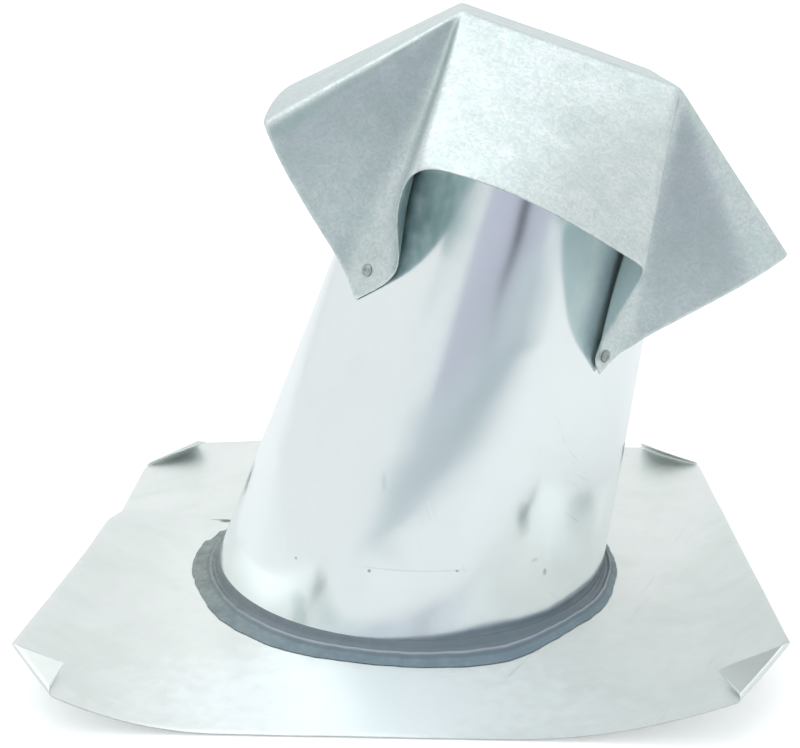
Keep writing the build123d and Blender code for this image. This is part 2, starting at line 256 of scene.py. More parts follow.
def flashing_grid():
    cells = FLASHING_CELLS
    ys = np.linspace(FRONT_Y, BACK_Y, cells + 1)
    bm = bmesh.new()
    rows = []
    for y in ys:
        xs = np.linspace(-np.interp(y, *LEFT_HALF), HALF, cells + 1)
        rows.append([bm.verts.new(sheet_point(x, y)) for x in xs])
    for i in range(cells):
        for j in range(cells):
            bm.faces.new((rows[i][j], rows[i][j + 1], rows[i + 1][j + 1], rows[i + 1][j]))
    for sx, sy, side_leg, edge_leg, _ in EARS:
        a, b, _ = ear_ends(sx, sy, side_leg, edge_leg)
        outward = Vector((b[1] - a[1], a[0] - b[0], 0.0))
        geometry = bm.verts[:] + bm.edges[:] + bm.faces[:]
        fold = {"plane_co": (a[0], a[1], 0.0), "plane_no": outward}
        bmesh.ops.bisect_plane(bm, geom=geometry, clear_outer=True, **fold)
    return bm


def flashing_piece():
    bm = flashing_grid()
    centre_x, half_x, half_y = foot_ellipse(SHEET)

    def oval(v):
        return math.hypot((v.co.x - centre_x) / (half_x - SHEET), v.co.y / (half_y - SHEET))

    over_hole = [f for f in bm.faces if any(oval(v) < 1 for v in f.verts)]
    bmesh.ops.delete(bm, geom=over_hole, context="FACES")
    for v in bm.verts:
        if v.is_boundary and oval(v) < HOLE_SNAP:
            k = oval(v)
            v.co.x = centre_x + (v.co.x - centre_x) / k
            v.co.y /= k
    verts = [np.array(v.co) for v in bm.verts]
    index = {v: i for i, v in enumerate(bm.verts)}
    faces = [tuple(index[v] for v in f.verts) for f in bm.faces]
    bm.free()
    for ear in EARS:
        ear_verts, ear_faces = ear_grid(*ear)
        start = len(verts)
        verts += ear_verts
        faces += [tuple(start + k for k in f) for f in ear_faces]
    piece = mesh_piece("flashing", verts, faces, "base_flashing")
    thicken(piece, SHEET, 1.0, even=False)
    return piece


flashing = flashing_piece()

# %% [markdown]
# ## The pipe
# A flat blank is rolled into a cone and lapped at the back, and its foot is turned out so that it can
# sit on the flashing. Each column of the grid starts where its own line meets the flashing, so the
# foot comes out level although the pipe leans. The wall is pushed in by a few tenths of a millimetre
# here and there to break up its reflections. The lap is a narrow strip laid on the back of the wall.

# %% Pipe
def pipe_point(turn, along, extra=0.0):
    spoke = SIDE * math.sin(turn) - DEPTH * math.cos(turn)
    radius = pipe_radius(along) + extra
    return AXIS * along + spoke * radius


def foot_along(turn, z, extra=0.0):
    lift = SIDE[2] * math.sin(turn)
    return (z - (FOOT_RADIUS + extra) * lift) / (AXIS[2] - TAPER * lift)


# %% Pipe wall
PIPE_COLUMNS, PIPE_ROWS, EASE_ROWS = 192, 72, 8
FLANGE, FLANGE_ROWS = 0.004, 4
FOOT_LEVEL = SHEET * 1.5
DENT, DENTS_PER_METRE = 0.0005, 11.0
FINE_DENT, FINE_DENTS_PER_METRE = 0.0003, 30.0


def flange_points(turns):
    verts = []
    for i in range(FLANGE_ROWS):
        for turn in turns:
            edge = pipe_point(turn, foot_along(turn, FOOT_LEVEL))
            spoke = np.array([edge[0] - foot_ellipse(SHEET)[0], edge[1], 0.0])
            spoke /= np.linalg.norm(spoke)
            verts.append(edge + spoke * FLANGE * (1 - i / FLANGE_ROWS))
    return verts


def wall_points(turns):
    verts = []
    for i in range(PIPE_ROWS + 1):
        for turn in turns:
            low = foot_along(turn, FOOT_LEVEL)
            along = low + (PIPE_TOP - low) * i / PIPE_ROWS
            p = pipe_point(turn, along)
            ease = min(1.0, i / EASE_ROWS) * min(1.0, (PIPE_ROWS - i) / EASE_ROWS)
            dent = DENT * wander(p, DENTS_PER_METRE, 21.0)
            dent += FINE_DENT * wander(p, FINE_DENTS_PER_METRE, 5.0)
            verts.append(pipe_point(turn, along, -abs(dent) * ease - SHEET * 0.1))
    return verts


# %% Pipe seam and piece
SEAM_ROWS, SEAM_COLUMNS = 40, 7
SEAM_HALF_TURN = 0.05
SEAM_SHORT = 0.001
SEAM_LIFT, SEAM_EDGE_LIFT = 0.9, 0.05


def seam_points():
    verts = []
    last = SEAM_COLUMNS - 1
    for i in range(SEAM_ROWS + 1):
        for k in range(SEAM_COLUMNS):
            turn = math.pi - SEAM_HALF_TURN + 2 * SEAM_HALF_TURN * k / last
            low = foot_along(turn, SHEET * 3)
            lift = SHEET * (SEAM_EDGE_LIFT if k in (0, last) else SEAM_LIFT)
            along = low + (PIPE_TOP - SEAM_SHORT - low) * i / SEAM_ROWS
            verts.append(pipe_point(turn, along, lift))
    return verts


def pipe_piece():
    turns = [2 * math.pi * j / PIPE_COLUMNS for j in range(PIPE_COLUMNS)]
    verts = flange_points(turns) + wall_points(turns)
    faces = grid_faces(FLANGE_ROWS + PIPE_ROWS + 1, PIPE_COLUMNS, closed=True)
    faces += grid_faces(SEAM_ROWS + 1, SEAM_COLUMNS, len(verts))
    piece = mesh_piece("pipe", verts + seam_points(), faces, "stack_pipe")
    thicken(piece, SHEET * 0.9, -1.0)
    return piece


pipe = pipe_piece()

# %% [markdown]
# ## The rain cap
# The cap is one square of sheet. Its middle stays flat, its four sides are bent down into hoods, and
# the four corners that are left over are pushed in as valleys until their tips lie on the pipe, where
# they are riveted. It could be modelled panel by panel, but then the panels would not add up to one
# square. So the grid covers the flat sheet, and each point is sent to where its part of the sheet ends
# up: the top, a hood, or one of the panels of a corner. The folds were made a few degrees out of square
# with the sheet, as in the photo, so the mouth edges run crooked.

# %% Cap frame
CAP_ORIGIN = np.array([0.0762, 0.0081, 0.2849])
CAP_TURN = math.radians(-0.9)
CAP_UP = np.array([math.tan(math.radians(19.15)), math.tan(math.radians(3.2)), 1.0])
CAP_UP /= np.linalg.norm(CAP_UP)
CAP_BACK = DEPTH - CAP_UP * CAP_UP[1]
CAP_BACK /= np.linalg.norm(CAP_BACK)
CAP_RIGHT = np.cross(CAP_BACK, CAP_UP)
CAP_X = CAP_RIGHT * math.cos(CAP_TURN) + CAP_BACK * math.sin(CAP_TURN)
CAP_Y = CAP_BACK * math.cos(CAP_TURN) - CAP_RIGHT * math.sin(CAP_TURN)
TOP_INSET = 0.0174
TOP_EXACT = pipe_radius(PIPE_TOP) - TOP_INSET
TOP = round(TOP_EXACT, 4)
HOOD = 0.103
SKEW = math.radians(3.2)
BENDS = {"front": 42.5, "right": 37.5, "back": 44.0, "left": 47.5}
print("cap top half width", TOP)

# %% [markdown]
# Each leg ends in a small flat that bears on the pipe, and where it lies follows from the pipe. A flat
# stands square to a diagonal of the cap, just clear of the wall's bulge, and slides sideways until its
# middle is at the leg's own turn round the pipe. The solid's cap is turned about the upright line, so
# its legs are found in that turned frame.

# %% Cap levels
LEG_FACING = {(-1, -1): -45.0, (1, -1): 45.0, (1, 1): 135.0, (-1, 1): -135.0}
LEG_TURN = {(-1, -1): -50.5, (1, -1): 43.0, (1, 1): 129.5, (-1, 1): -140.5}
LEG_SPREAD, LEG_MARGIN, LEG_LENGTH, RIVET_MARGIN = 0.014, 0.024, 0.038, 0.013


def tip_level():
    """How far below the cap's top its corner tips reach."""
    spread = (pipe_radius(PIPE_TOP) + LEG_SPREAD) / math.sqrt(2)
    bend = math.radians(BENDS["front"])
    return (HOOD + (TOP_EXACT - spread) * math.cos(bend)) / math.sin(bend)


LEG_HIGH = tip_level() - LEG_MARGIN
LEG_LOW = LEG_HIGH + LEG_LENGTH
SEAT_HIGH, SEAT_LOW = round(LEG_HIGH, 4), round(LEG_LOW, 4)
RIVET_LEVEL = round(tip_level() - RIVET_MARGIN, 4)
print("leg levels", SEAT_HIGH, SEAT_LOW, "rivet level", RIVET_LEVEL)


# %% Cap legs
def turned(v):
    """A direction of the cap, turned about the upright line."""
    c, s = math.cos(CAP_TURN), math.sin(CAP_TURN)
    return np.array([v[0] * c - v[1] * s, v[0] * s + v[1] * c, v[2]])


SOLID_X, SOLID_Y, SOLID_UP = turned(CAP_RIGHT), turned(CAP_BACK), turned(CAP_UP)
LEG_GAP = 0.00005
SWINGS = np.arange(-15.0, 15.5, 0.5)
REACH_STEPS = 30


def plan_way(turn):
    return np.array([math.sin(math.radians(turn)), -math.cos(math.radians(turn))])


def axis_spot(level):
    """Where the pipe's axis crosses a level of the cap."""
    hit = AXIS * (CAP_ORIGIN @ CAP_UP - level) / (AXIS @ CAP_UP) - CAP_ORIGIN
    return np.array([hit @ SOLID_X, hit @ SOLID_Y])


def wall_reach(level, turn):
    """Distance from the axis to the pipe's wall at a level of the cap."""
    reach = FOOT_RADIUS
    for _ in range(REACH_STEPS):
        x, y = axis_spot(level) + plan_way(turn) * reach
        point = CAP_ORIGIN + SOLID_X * x + SOLID_Y * y - SOLID_UP * level
        along = point @ AXIS
        reach *= pipe_radius(along) / np.linalg.norm(point - AXIS * along)
    return reach


def flat_middle(level, facing, turn):
    """Middle of a leg's flat in the cap's plan, to a hundredth of a millimetre."""
    bulge = max(wall_reach(level, facing + swing) * math.cos(math.radians(swing)) for swing in SWINGS)
    aside = wall_reach(level, turn) * math.sin(math.radians(turn - facing))
    out = plan_way(facing)
    beside = np.array([-out[1], out[0]])
    return np.round(axis_spot(level) + out * (bulge + LEG_GAP + SHEET) + beside * aside, 5)


FLATS = {
    signs: [flat_middle(level, LEG_FACING[signs], LEG_TURN[signs]) for level in (LEG_HIGH, LEG_LOW)]
    for signs in LEG_FACING
}
for signs, (high, low) in FLATS.items():
    print("leg", signs, "from", high, "to", low)

# %% [markdown]
# A cap bent by hand has no two corners alike. These values say how each one departs from the plain
# fold: how the mouths bow, how far a hood edge is pulled aside or drawn out, how wide the turned strip
# beside a hood is, and how much a cheek bulges or a tip is cut short.

# %% Cap corners
BOWS = {"front": 0.0088, "right": 0.003, "back": 0.0088, "left": 0.003}
BOW_SKEW = {"front": 0.5, "right": 0.0, "back": 0.5, "left": 0.0}
OUT = {"front": (0, -1), "right": (1, 0), "back": (0, 1), "left": (-1, 0)}
FLAT_LEG = 0.020
# How far a flat's front crease is pulled to the right.
LIPS = {(-1, -1): 0.006, (1, -1): 0.004, (1, 1): 0.0, (-1, 1): 0.0}
# How wide the strip beside a side hood is, in degrees, and how far it stands proud.
STRIPS = {(-1, -1): (7.5, 0.0045), (1, -1): (13.0, 0.0070), (1, 1): (6.0, 0.001), (-1, 1): (6.0, 0.001)}
# How far the end of a side hood's edge is pulled aside, and how much longer it is drawn.
SIDE_SHIFT = {
    (-1, -1): (-0.002, 0.0, -0.004),
    (1, -1): (-0.0005, 0.0, 0.0035),
    (-1, 1): (-0.0045, 0.0, 0.0035),
}
SIDE_STRETCH = {(-1, -1): 0.036, (1, -1): -0.021, (1, 1): -0.018}
FRONT_SHIFT = {(-1, -1): (-0.001, 0.0, 0.0036), (1, -1): (0.0027, 0.0, -0.0045)}
NO_SHIFT = (0.0, 0.0, 0.0)
# How far a front cheek bulges, how much a tip is cut short, how much a leg is drawn out.
CHEEK_BULGE = {(-1, -1): 0.006}
TIP_TRIM = {(1, -1): 0.005, (-1, -1): 0.0045}
LEG_STRETCH = {(-1, -1): 0.035}
SHEET_HALF = (TOP + HOOD) * math.cos(SKEW)
print("cap sheet", round(SHEET_HALF * 2000, 1), "mm square")

# %% [markdown]
# Five directions run down from each corner of the top: two hood edges, the turned strip, and two creases
# of the flat. Between them lie four panels: the strip, the cheek, the flat and the front cheek. A point
# keeps its distance from the corner, as it would on unstretched metal, and its angle picks the panel.

# %% Cap corner directions
def flat_to_fold(s, t):
    """A point of the square sheet in the frame of the fold lines."""
    return s * math.cos(SKEW) + t * math.sin(SKEW), -s * math.sin(SKEW) + t * math.cos(SKEW)


def unit(v):
    return v / np.linalg.norm(v)


def corner_rays(sx, sy):
    """Directions down from a corner of the top: hood edge, strip, two creases of the flat, hood edge."""
    signs = (sx, sy)
    apex = np.array([sx * TOP, sy * TOP, 0.0])
    sharp = np.array(FLATS[signs][0]) - FLAT_LEG / 2 * np.array(signs)
    lean = (sharp - apex[:2]) / SEAT_HIGH
    bend_x = math.radians(BENDS["right" if sx > 0 else "left"])
    bend_y = math.radians(BENDS["back" if sy > 0 else "front"])
    edge_x = unit(np.array([sx * math.cos(bend_x), lean[1] * math.sin(bend_x), -math.sin(bend_x)]))
    edge_y = unit(np.array([lean[0] * math.sin(bend_y), sy * math.cos(bend_y), -math.sin(bend_y)]))
    edge_x = unit(edge_x + np.array(SIDE_SHIFT.get(signs, NO_SHIFT)) / HOOD)
    edge_y = unit(edge_y + np.array(FRONT_SHIFT.get(signs, NO_SHIFT)) / HOOD)
    crease_x = unit(np.array([sharp[0] + sx * FLAT_LEG, sharp[1], -SEAT_HIGH]) - apex)
    crease_y = unit(np.array([sharp[0] + LIPS[signs], sharp[1] + sy * FLAT_LEG, -SEAT_HIGH]) - apex)
    valley = unit(np.array([*sharp, -SEAT_HIGH]) - apex)
    width, proud = math.radians(STRIPS[signs][0]), STRIPS[signs][1]
    inward = unit(crease_x - edge_x * (crease_x @ edge_x))
    outward = unit(np.cross(edge_x, inward))
    outward *= np.sign(outward[1]) * sy
    strip = unit(edge_x * math.cos(width) + inward * math.sin(width) + outward * proud / HOOD)
    return apex, (edge_x, strip, crease_x, crease_y, edge_y), valley


CORNERS = {signs: corner_rays(*signs) for signs in FLATS}
for signs, (_, rays, _) in CORNERS.items():
    angles = [math.degrees(math.acos(a @ b)) for a, b in zip(rays, rays[1:])]
    print("corner", signs, "sheet angles", [round(v, 1) for v in angles], "sum", round(sum(angles), 1))


# %% Cap corner panels
TRIM_FROM, TRIM_OVER = 0.75, 0.3
OPEN_FROM, OPEN_OVER, OPEN_LEAST = 0.50, 0.42, 0.03
BULGE_PEAK = 27 / 4  # brings the highest value of part**2 * (1 - part) to one
BULGE_RISE = 1.4


def corner_point(sx, sy, ox, oy):
    """A point of the spare corner: its distance from the apex is kept and its angle finds the panel."""
    apex, rays, valley = CORNERS[sx, sy]
    reach = math.hypot(ox, oy)
    share = reach / (HOOD * math.sqrt(2))
    reach -= TIP_TRIM.get((sx, sy), 0.0) * max(0.0, (share - TRIM_FROM) / TRIM_OVER) ** 2
    beside = ox * ox / max(ox * ox + oy * oy, 1e-12)
    diagonal = 2 * math.sqrt(max(beside - beside * beside, 0.0))
    reach *= 1 + LEG_STRETCH.get((sx, sy), 0.0) * share * diagonal
    reach *= 1 + SIDE_STRETCH.get((sx, sy), 0.0) * min(share * math.sqrt(2), 1.0) * beside**3
    opened = min(max((share - OPEN_FROM) / OPEN_OVER, 0.0), 1.0)
    opened = OPEN_LEAST + (1 - OPEN_LEAST) * opened * opened * (3 - 2 * opened)
    crease_x = unit(valley * (1 - opened) + rays[2] * opened)
    crease_y = unit(valley * (1 - opened) + rays[3] * opened)
    rays = (rays[0], rays[1], crease_x, crease_y, rays[4])
    spans = np.array([math.acos(a @ b) for a, b in zip(rays, rays[1:])])
    at = math.atan2(oy, ox) / (math.pi / 2) * spans.sum()
    panel = int(min(np.searchsorted(np.cumsum(spans), at), 3))
    turn = at - spans[:panel].sum()
    a, b, span = rays[panel], rays[panel + 1], spans[panel]
    way = (a * math.sin(span - turn) + b * math.sin(turn)) / math.sin(span)
    point = apex + way * reach
    if panel == 3:
        part = turn / span
        bulge = CHEEK_BULGE.get((sx, sy), 0.0) * min(share * BULGE_RISE, 1.0) ** 2
        point[0] += sx * bulge * BULGE_PEAK * part**2 * (1 - part)
    return point


# %% Cap hoods and the whole map
def hood_point(side, across, reach):
    """A point of a hood: slides down from its fold, spreads to meet both cheeks and arches between."""
    ox, oy = OUT[side]
    ends = []
    for sign in (-1, 1):
        signs = (ox, sign) if ox else (sign, oy)
        apex, rays, _ = CORNERS[signs]
        longer = 1 + (SIDE_STRETCH.get(signs, 0.0) * min(reach / HOOD, 1.0) if ox else 0.0)
        ends.append(apex + rays[0 if ox else 4] * reach * longer)
    share = (across / TOP + 1) / 2
    bend = math.radians(BENDS[side])
    normal = np.array([ox * math.sin(bend), oy * math.sin(bend), math.cos(bend)])
    arch = BOWS[side] * (reach / HOOD) * (1 - (across / TOP) ** 2) * (1 - BOW_SKEW[side] * across / TOP)
    return ends[0] * (1 - share) + ends[1] * share + normal * arch


def folded(x, y):
    """Where a point of the flat sheet goes, in the cap's own frame."""
    ox, oy = abs(x) - TOP, abs(y) - TOP
    sx, sy = (1 if x > 0 else -1), (1 if y > 0 else -1)
    if ox <= 0 and oy <= 0:
        return np.array([x, y, 0.0])
    if ox <= 0:
        return hood_point("back" if sy > 0 else "front", x, oy)
    if oy <= 0:
        return hood_point("right" if sx > 0 else "left", y, ox)
    return corner_point(sx, sy, ox, oy)


# %% [markdown]
# The map above gives knife-sharp folds. Metal bends round a radius, so the grid is relaxed: every
# point moves towards the mean of its neighbours, many times in small steps. How far is painted by
# position. Near the top the folds stay crisp; towards the mouths and the tips they open out. After each
# round, anything that has dipped into the pipe is pushed back onto its wall, so the legs settle against
# it, and last the sheet is drawn down to each rivet, as a real rivet draws it.

# %% Cap relaxing
def relax(points, softness, steps):
    for _ in range(steps):
        mean = points.copy()
        beside = points[1:-1, :-2] + points[1:-1, 2:]
        mean[1:-1, 1:-1] = (points[:-2, 1:-1] + points[2:, 1:-1] + beside) / 4
        for edge in (0, -1):
            row = points[edge]
            mean[edge, 1:-1] = (row[:-2] + row[2:]) / 2
            column = points[:, edge]
            mean[1:-1, edge] = (column[:-2] + column[2:]) / 2
        points = points + (mean - points) * softness[:, :, None]
    return points


# %% Cap against the pipe and rivets
RIM_FADE, RIM_CLEAR = 0.012, 0.003
RIVET_DRAW, RIVET_FULL_DRAW = 0.012, 1.3


def to_world(local):
    return CAP_ORIGIN + local[..., 0:1] * CAP_X + local[..., 1:2] * CAP_Y + local[..., 2:3] * CAP_UP


def off_pipe(points, gap):
    """Push a grid of points out of the pipe; above its rim the push fades so that no line shows."""
    along = points @ AXIS
    spokes = points - along[..., None] * AXIS
    radius = np.linalg.norm(spokes, axis=-1)
    above = np.maximum(along - PIPE_TOP - RIM_CLEAR, 0.0)
    wall = pipe_radius(np.minimum(along, PIPE_TOP)) + gap - above
    by_wall = (along < PIPE_TOP + RIM_FADE) & (radius > wall - 2 * RIM_FADE)
    scale = np.where(by_wall, np.maximum(wall / radius, 1.0), 1.0)
    return along[..., None] * AXIS + spokes * scale[..., None]


def rivet_seat(sx, sy):
    """Where a rivet sits on its leg: the spot, the line square to the leg, across and up."""
    high, low = (np.array(v) for v in FLATS[sx, sy])
    share = (RIVET_LEVEL - SEAT_HIGH) / (SEAT_LOW - SEAT_HIGH)
    spot = to_world(np.array([*(high * (1 - share) + low * share), -RIVET_LEVEL]))
    foot = to_world(np.array([*low, -SEAT_LOW]))
    across = unit(CAP_X * -sy + CAP_Y * sx)
    normal = unit(np.cross(across, spot - foot))
    return spot, normal, across, np.cross(normal, across)


def under_rivets(points):
    """Draw the sheet down to the rivet's seat close round each rivet."""
    for signs in FLATS:
        spot, normal, _, _ = rivet_seat(*signs)
        away = points - spot
        height = away @ normal + SHEET * 0.5
        near = np.clip(RIVET_FULL_DRAW - np.linalg.norm(away, axis=-1) / RIVET_DRAW, 0.0, 1.0)
        points = points - normal * (height * near)[..., None]
    return points


# %% Cap piece
CAP_CELLS = 180
FOLD_WIDTH, FOLD_SET = 0.009, 0.0032
FOLD_WAY = np.array([-0.8, -0.1, 0.5])
SOFT_ALL, SOFT_FAR, SOFT_DEEP, SOFT_ROLL, SOFT_MOST = 0.010, 0.025, 0.36, 0.22, 0.48
DEEP_RISE = 2.2
RELAX_ROUNDS, RELAX_STEPS, LAST_STEPS = 10, 12, 3
ROUND_GAP, LAST_GAP = SHEET * 0.5 + 0.0002, SHEET * 0.5 + 0.0001
SKIN_WAVE, SKIN_WAVES_PER_METRE, SKIN_SINK = 0.0005, 18.0, 0.0006


def folded_grid():
    """The folded sheet before relaxing, and how soft each of its points is."""
    ticks = np.linspace(-SHEET_HALF, SHEET_HALF, CAP_CELLS + 1)
    local = np.zeros((CAP_CELLS + 1, CAP_CELLS + 1, 3))
    softness = np.zeros((CAP_CELLS + 1, CAP_CELLS + 1))
    for i, t in enumerate(ticks):
        for j, s in enumerate(ticks):
            x, y = flat_to_fold(s, t)
            ox, oy = max(abs(x) - TOP, 0.0), max(abs(y) - TOP, 0.0)
            far = min(math.hypot(ox, oy) / HOOD, 1.0)
            deep = min(DEEP_RISE * min(ox, oy) / HOOD, 1.0)
            roll = (oy / HOOD) * math.exp(-(((x + TOP) / FOLD_WIDTH) ** 2)) if y < 0 else 0.0
            softness[i, j] = SOFT_ALL + SOFT_FAR * far**2 + SOFT_DEEP * deep + SOFT_ROLL * roll
            local[i, j] = folded(x, y) + FOLD_WAY * FOLD_SET * roll
    return to_world(local), np.minimum(softness, SOFT_MOST)


def cap_piece():
    points, softness = folded_grid()
    for _ in range(RELAX_ROUNDS):
        points = off_pipe(relax(points, softness, RELAX_STEPS), ROUND_GAP)
    points = relax(points, softness, LAST_STEPS)
    wave = np.array([[wander(p, SKIN_WAVES_PER_METRE, 40.0) for p in row] for row in points])
    points = points + CAP_UP * (SKIN_WAVE * wave - SKIN_SINK)[..., None]
    points = off_pipe(under_rivets(points), LAST_GAP)
    faces = grid_faces(CAP_CELLS + 1, CAP_CELLS + 1)
    piece = mesh_piece("cap", points.reshape(-1, 3), faces, "rain_cap")
    thicken(piece, SHEET, 0.0)
    piece.modifiers["gauge"].material_offset = 1
    return piece


cap = cap_piece()

# %% [markdown]
# ## The rivets
# A pop rivet shows a low dome with the snapped-off stem in a dimple at its centre. Each one is turned
# like a pot: a profile of radius and height, spun round the line that stands square to the pipe.

# %% Rivets
RIVET_PROFILE = (
    (0.0, 0.00075), (0.0007, 0.00075), (0.00085, 0.0009), (0.0009, 0.0014),
    (0.0011, 0.00152), (0.0016, 0.00145), (0.0022, 0.00122), (0.0028, 0.0008),
    (0.0031, 0.0004), (0.0032, 0.0001), (0.0031, 0.0), (0.0016, 0.0),
    (0.0016, -0.0016), (0.0022, -0.0018), (0.0023, -0.003), (0.0021, -0.0044),
    (0.0012, -0.0052), (0.0, -0.0054),
)
RIVET_SPIN = 32
RIVET_GAP = 0.0001


def rivet_piece():
    verts, faces = [], []
    for signs in FLATS:
        spot, normal, across, upward = rivet_seat(*signs)
        start = len(verts)
        for radius, height in RIVET_PROFILE:
            centre = spot + normal * (height + RIVET_GAP)
            for k in range(RIVET_SPIN):
                a = 2 * math.pi * k / RIVET_SPIN
                verts.append(centre + (across * math.cos(a) + upward * math.sin(a)) * radius)
        faces += grid_faces(len(RIVET_PROFILE), RIVET_SPIN, start, closed=True)
        print("rivet at", np.round(spot * 1000, 1))
    return mesh_piece("rivets", verts, faces, "cap_rivets")


rivets = rivet_piece()

# %% [markdown]
# ## The sealant
# Mastic was run round the foot and tooled with a finger: a hollow cove against the pipe, a soft ridge
# where the finger's edge ran, and a thin skirt that ends in a ragged line. The profile is spun round
# the foot with its height and width changing on the way, high on the left and thin in front.

# %% Sealant outline
EDGE_RADIUS, EDGE_TRIM = 0.1185, 0.0008
EDGE_SWAY, SWAY_TURN = 0.004, math.radians(25)
SMEAR, SMEAR_DEGREE, SMEAR_SPREAD = 0.006, 24, 200
EDGE_WAVES = ((0.0007, 7, 0), (0.00035, 13, 1))
EDGE_NOISE = ((0.0007, 160.0, 2.0, 0.0), (0.0003, 420.0, 4.0, 1.0))
TEARS = ((0.0030, 236, 262), (0.0022, 236, 255))


def skirt_edge(turn):
    """Outer radius of the mastic: a wavy smear, pushed out at one place and torn off at the back left."""
    degree = math.degrees(turn)
    outer = EDGE_RADIUS + EDGE_SWAY * math.cos(turn + SWAY_TURN)
    outer += SMEAR * math.exp(-((degree - SMEAR_DEGREE) ** 2) / SMEAR_SPREAD)
    for size, count, start in EDGE_WAVES:
        outer += size * math.sin(count * turn + start)
    for size, per_metre, seed, layer in EDGE_NOISE:
        outer += size * wander((math.sin(turn) * 0.1, math.cos(turn) * 0.1, layer), per_metre, seed)
    torn = sum(depth for depth, first, last in TEARS if first < degree < last)
    return outer - EDGE_TRIM - torn


# %% Sealant profile
BRIM, RIDGE, RIDGE_SHARE = 0.0058, 0.0032, 0.50
RIDGE_STOP = 4


def bead_levels(turn):
    """Stops of share and height across the bead: brim on the pipe, hollow, finger ridge, skirt."""
    front, back = max(math.cos(turn), 0.0), max(-math.cos(turn), 0.0)
    left = max(-math.sin(turn), 0.0)
    brim = BRIM - 0.0020 * math.sin(turn) - 0.0012 * front + 0.0022 * back
    ridge_at = RIDGE_SHARE + 0.08 * front - 0.20 * left
    ridge = RIDGE + 0.0008 * front
    shares = [0.0, 0.3 * ridge_at, 0.65 * ridge_at, 0.9 * ridge_at, ridge_at, ridge_at + 0.1, 0.86, 0.97, 1.0]
    heights = [brim, 0.42 * brim, 0.0014, ridge - 0.0006, ridge, ridge - 0.0012, 0.0012, 0.0008, 0.0001]
    return shares, heights


# %% Sealant piece
BEAD_COLUMNS, BEAD_STEPS = 360, 30
SOFTEN, THINNEST = 0.025, 0.0001
LUMPS = ((0.0004, 70.0, 8.0, 0.0), (0.0002, 260.0, 1.0, 1.0))
FRONT_TURN = 0.3


def sealant_piece():
    centre_x = foot_ellipse(SHEET)[0]
    verts, from_ridge, in_front = [], [], []
    for i in range(BEAD_STEPS + 1):
        share = i / BEAD_STEPS
        near = [min(max(share + k * SOFTEN, 0.0), 1.0) for k in (-1, 0, 1)]
        for j in range(BEAD_COLUMNS):
            turn = 2 * math.pi * j / BEAD_COLUMNS
            shares, heights = bead_levels(turn)
            top = sum(np.interp(at, shares, heights) for at in near) / 3
            foot = pipe_point(turn, foot_along(turn, SHEET + heights[0]))
            inner = np.array([foot[0] - centre_x, foot[1]])
            rim = np.array([math.sin(turn), -math.cos(turn)]) * skirt_edge(turn)
            flat = inner + (rim - inner) * share
            lump = sum(size * wander((*flat, layer), scale, seed) for size, scale, seed, layer in LUMPS)
            height = max(top + lump * math.sin(math.pi * share), THINNEST)
            verts.append((centre_x + flat[0], flat[1], SHEET + height))
            from_ridge.append(share - shares[RIDGE_STOP])
            in_front.append(max(math.cos(turn - FRONT_TURN), 0.0))
    faces = [face[::-1] for face in grid_faces(BEAD_STEPS + 1, BEAD_COLUMNS, closed=True)]
    piece = mesh_piece("sealant", verts, faces, "sealant_bead")
    for name, values in (("from ridge", from_ridge), ("in front", in_front)):
        piece.data.attributes.new(name, "FLOAT", "POINT").data.foreach_set("value", values)
    return piece


sealant = sealant_piece()

# %% [markdown]
# ## Node groups for the metal's skin
# Hot-dip zinc freezes into flat crystals, the spangle, then picks up scratches, finger smudges and
# rubbed edges. Each of these is one node group, so that the flashing, pipe and cap can share them and
# differ only in how much of each they get. A helper adds a node, sets it and links it in one line.

# %% Node helpers
def add_node(tree, kind, inputs=None, **settings):
    node = tree.nodes.new(kind)
    for key, value in settings.items():
        setattr(node, key, value)
    for socket, source in (inputs or {}).items():
        if isinstance(source, bpy.types.NodeSocket):
            tree.links.new(source, node.inputs[socket])
        else:
            node.inputs[socket].default_value = source
    return node


def new_group(name, inputs, outputs):
    tree = bpy.data.node_groups.new(name, "ShaderNodeTree")
    for socket, kind, value in inputs:
        tree.interface.new_socket(socket, in_out="INPUT", socket_type=kind).default_value = value
    for socket, kind in outputs:
        tree.interface.new_socket(socket, in_out="OUTPUT", socket_type=kind)
    return tree, tree.nodes.new("NodeGroupInput").outputs, tree.nodes.new("NodeGroupOutput").inputs


def math_node(tree, operation, a, b=0.0):
    return add_node(tree, "ShaderNodeMath", {0: a, 1: b}, operation=operation).outputs[0]


def ramp_node(tree, value, low, high, to_low=0.0, to_high=1.0):
    inputs = {"Value": value, "From Min": low, "From Max": high, "To Min": to_low, "To Max": to_high}
    return add_node(tree, "ShaderNodeMapRange", inputs, interpolation_type="SMOOTHSTEP").outputs["Result"]


def object_place(tree):
    return add_node(tree, "ShaderNodeTexCoord").outputs["Object"]


def noise_node(tree, place, scale, detail, output=0, **more):
    inputs = {"Vector": place, "Scale": scale, "Detail": detail, **more}
    return add_node(tree, "ShaderNodeTexNoise", inputs).outputs[output]


def vector_node(tree, operation, a, b):
    return add_node(tree, "ShaderNodeVectorMath", {0: a, 1: b}, operation=operation).outputs[0]


def scale_node(tree, vector, factor):
    inputs = {0: vector, "Scale": factor}
    return add_node(tree, "ShaderNodeVectorMath", inputs, operation="SCALE").outputs[0]


FLOAT, VECTOR = "NodeSocketFloat", "NodeSocketVector"

# %% [markdown]
# Spangle: Voronoi cells give each crystal its own shade, and two sizes of noise cloud them over.

